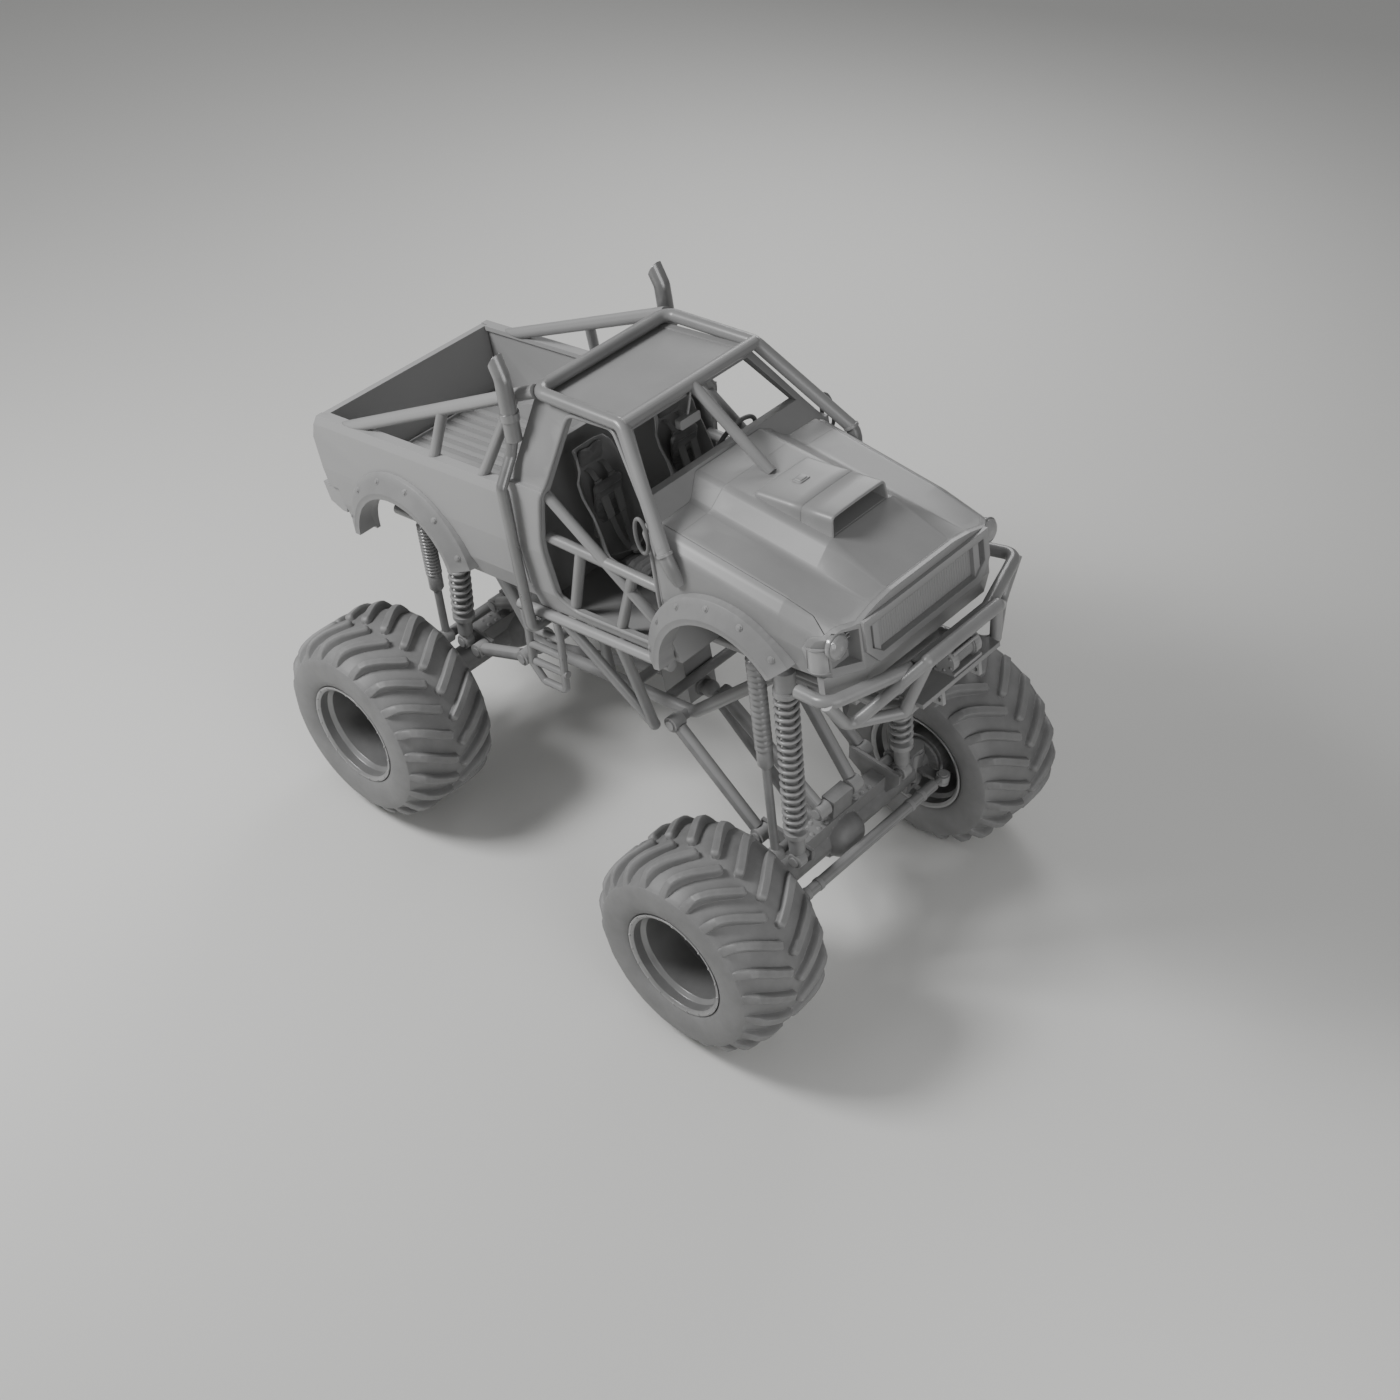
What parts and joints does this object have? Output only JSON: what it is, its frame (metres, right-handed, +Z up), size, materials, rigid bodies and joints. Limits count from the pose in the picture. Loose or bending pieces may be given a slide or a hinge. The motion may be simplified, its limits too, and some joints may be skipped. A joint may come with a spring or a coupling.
{
  "type": "monster truck",
  "caption": "Monster truck: pickup body raked nose-up on a tube frame, with outside roll cage, exhaust stacks, long coil springs and steered lugged wheels.",
  "frame": {"origin": "on the floor, under the middle of the truck's bounding box", "axes": "+X forward, +Y to the truck's left, +Z up"},
  "size_m": [5.6306, 3.673, 4.3715],
  "materials": {
    "body_shell": "satin",
    "frame_tube": "satin",
    "running_gear": "satin",
    "flare_plastic": "matte",
    "lamp_lens": "gloss",
    "exhaust_pipe": "satin",
    "spring_steel": "satin",
    "seat_cloth": "woven",
    "grip_rubber": "matte",
    "tyre_rubber": "moulded",
    "rim_alloy": "satin"
  },
  "bodies": {
    "chassis": {"cab_shell": "body_shell", "cowl_panel": "body_shell", "hood": "body_shell", "hood_scoop": "body_shell", "front_fenders": "body_shell", "nose_panel": "body_shell", "grille": "flare_plastic", "headlamps": "lamp_lens", "front_valance": "body_shell", "bed_sides": "body_shell", "bed_floor": "body_shell", "rear_bumper": "body_shell", "fender_flares": "flare_plastic", "roll_cage": "frame_tube", "cage_stays": "frame_tube", "door_bars": "frame_tube", "side_steps": "frame_tube", "exhaust_stacks": "exhaust_pipe", "chassis_frame": "frame_tube", "belly_frame": "frame_tube", "sill_frames": "frame_tube", "front_bumper": "frame_tube", "winch": "running_gear", "seats": "seat_cloth", "dashboard": "flare_plastic", "steering_column": "running_gear", "engine": "running_gear", "transfer_case": "running_gear", "drive_shafts": "running_gear", "coilovers": "spring_steel", "bypass_shocks": "spring_steel", "suspension_links": "running_gear", "front_axle": "running_gear", "rear_axle": "running_gear"},
    "tailgate": {"tailgate": "body_shell"},
    "steering_wheel": {"steering_wheel": "grip_rubber"},
    "front_right_knuckle": {"front_right_knuckle": "running_gear"},
    "front_right_wheel": {"front_right_tyre": "tyre_rubber", "front_right_rim": "rim_alloy"},
    "front_left_knuckle": {"front_left_knuckle": "running_gear"},
    "front_left_wheel": {"front_left_tyre": "tyre_rubber", "front_left_rim": "rim_alloy"},
    "front_tie_rod": {"front_tie_rod": "running_gear"},
    "rear_right_knuckle": {"rear_right_knuckle": "running_gear"},
    "rear_right_wheel": {"rear_right_tyre": "tyre_rubber", "rear_right_rim": "rim_alloy"},
    "rear_left_knuckle": {"rear_left_knuckle": "running_gear"},
    "rear_left_wheel": {"rear_left_tyre": "tyre_rubber", "rear_left_rim": "rim_alloy"},
    "rear_tie_rod": {"rear_tie_rod": "running_gear"}
  },
  "joints": [
    {"name": "tailgate_hinge", "type": "hinge", "parent": "chassis", "child": "tailgate", "pos_m": [-2.65715, 0, 2.38266], "axis": [0, -1, 0], "range_deg": [0, 90]},
    {"name": "front_steer_right", "type": "hinge", "parent": "chassis", "child": "front_right_knuckle", "pos_m": [1.82865, -0.96, 0.838], "axis": [0, 0, 1], "range_deg": [-25, 25]},
    {"name": "front_right_spin", "type": "hinge", "parent": "front_right_knuckle", "child": "front_right_wheel", "pos_m": [1.82865, -1.393, 0.838], "axis": [0, 1, 0], "continuous": true},
    {"name": "front_steer_left", "type": "hinge", "parent": "chassis", "child": "front_left_knuckle", "pos_m": [1.82865, 0.96, 0.838], "axis": [0, 0, 1], "range_deg": [-25, 25]},
    {"name": "front_left_spin", "type": "hinge", "parent": "front_left_knuckle", "child": "front_left_wheel", "pos_m": [1.82865, 1.393, 0.838], "axis": [0, 1, 0], "continuous": true},
    {"name": "front_tie_rod_pivot", "type": "hinge", "parent": "front_right_knuckle", "child": "front_tie_rod", "pos_m": [2.11865, -0.96, 0.88], "axis": [0, 0, 1], "range_deg": [-25, 25]},
    {"name": "rear_steer_right", "type": "hinge", "parent": "chassis", "child": "rear_right_knuckle", "pos_m": [-1.65535, -0.96, 0.838], "axis": [0, 0, 1], "range_deg": [-25, 25]},
    {"name": "rear_right_spin", "type": "hinge", "parent": "rear_right_knuckle", "child": "rear_right_wheel", "pos_m": [-1.65535, -1.393, 0.838], "axis": [0, 1, 0], "continuous": true},
    {"name": "rear_steer_left", "type": "hinge", "parent": "chassis", "child": "rear_left_knuckle", "pos_m": [-1.65535, 0.96, 0.838], "axis": [0, 0, 1], "range_deg": [-25, 25]},
    {"name": "rear_left_spin", "type": "hinge", "parent": "rear_left_knuckle", "child": "rear_left_wheel", "pos_m": [-1.65535, 1.393, 0.838], "axis": [0, 1, 0], "continuous": true},
    {"name": "rear_tie_rod_pivot", "type": "hinge", "parent": "rear_right_knuckle", "child": "rear_tie_rod", "pos_m": [-1.94535, -0.96, 0.88], "axis": [0, 0, 1], "range_deg": [-25, 25]},
    {"name": "steering_wheel_turn", "type": "hinge", "parent": "chassis", "child": "steering_wheel", "pos_m": [0.4582, 0.35, 3.6025], "axis": [-0.972, 0, 0.2351], "range_deg": [-250, 250]}
  ],
  "couplings": [
    {"joint": "front_steer_left", "follows": "front_steer_right", "ratio": 1},
    {"joint": "front_tie_rod_pivot", "follows": "front_steer_right", "ratio": -1},
    {"joint": "rear_steer_left", "follows": "rear_steer_right", "ratio": 1},
    {"joint": "rear_tie_rod_pivot", "follows": "rear_steer_right", "ratio": -1},
    {"joint": "steering_wheel_turn", "follows": "front_steer_right", "ratio": 10}
  ]
}
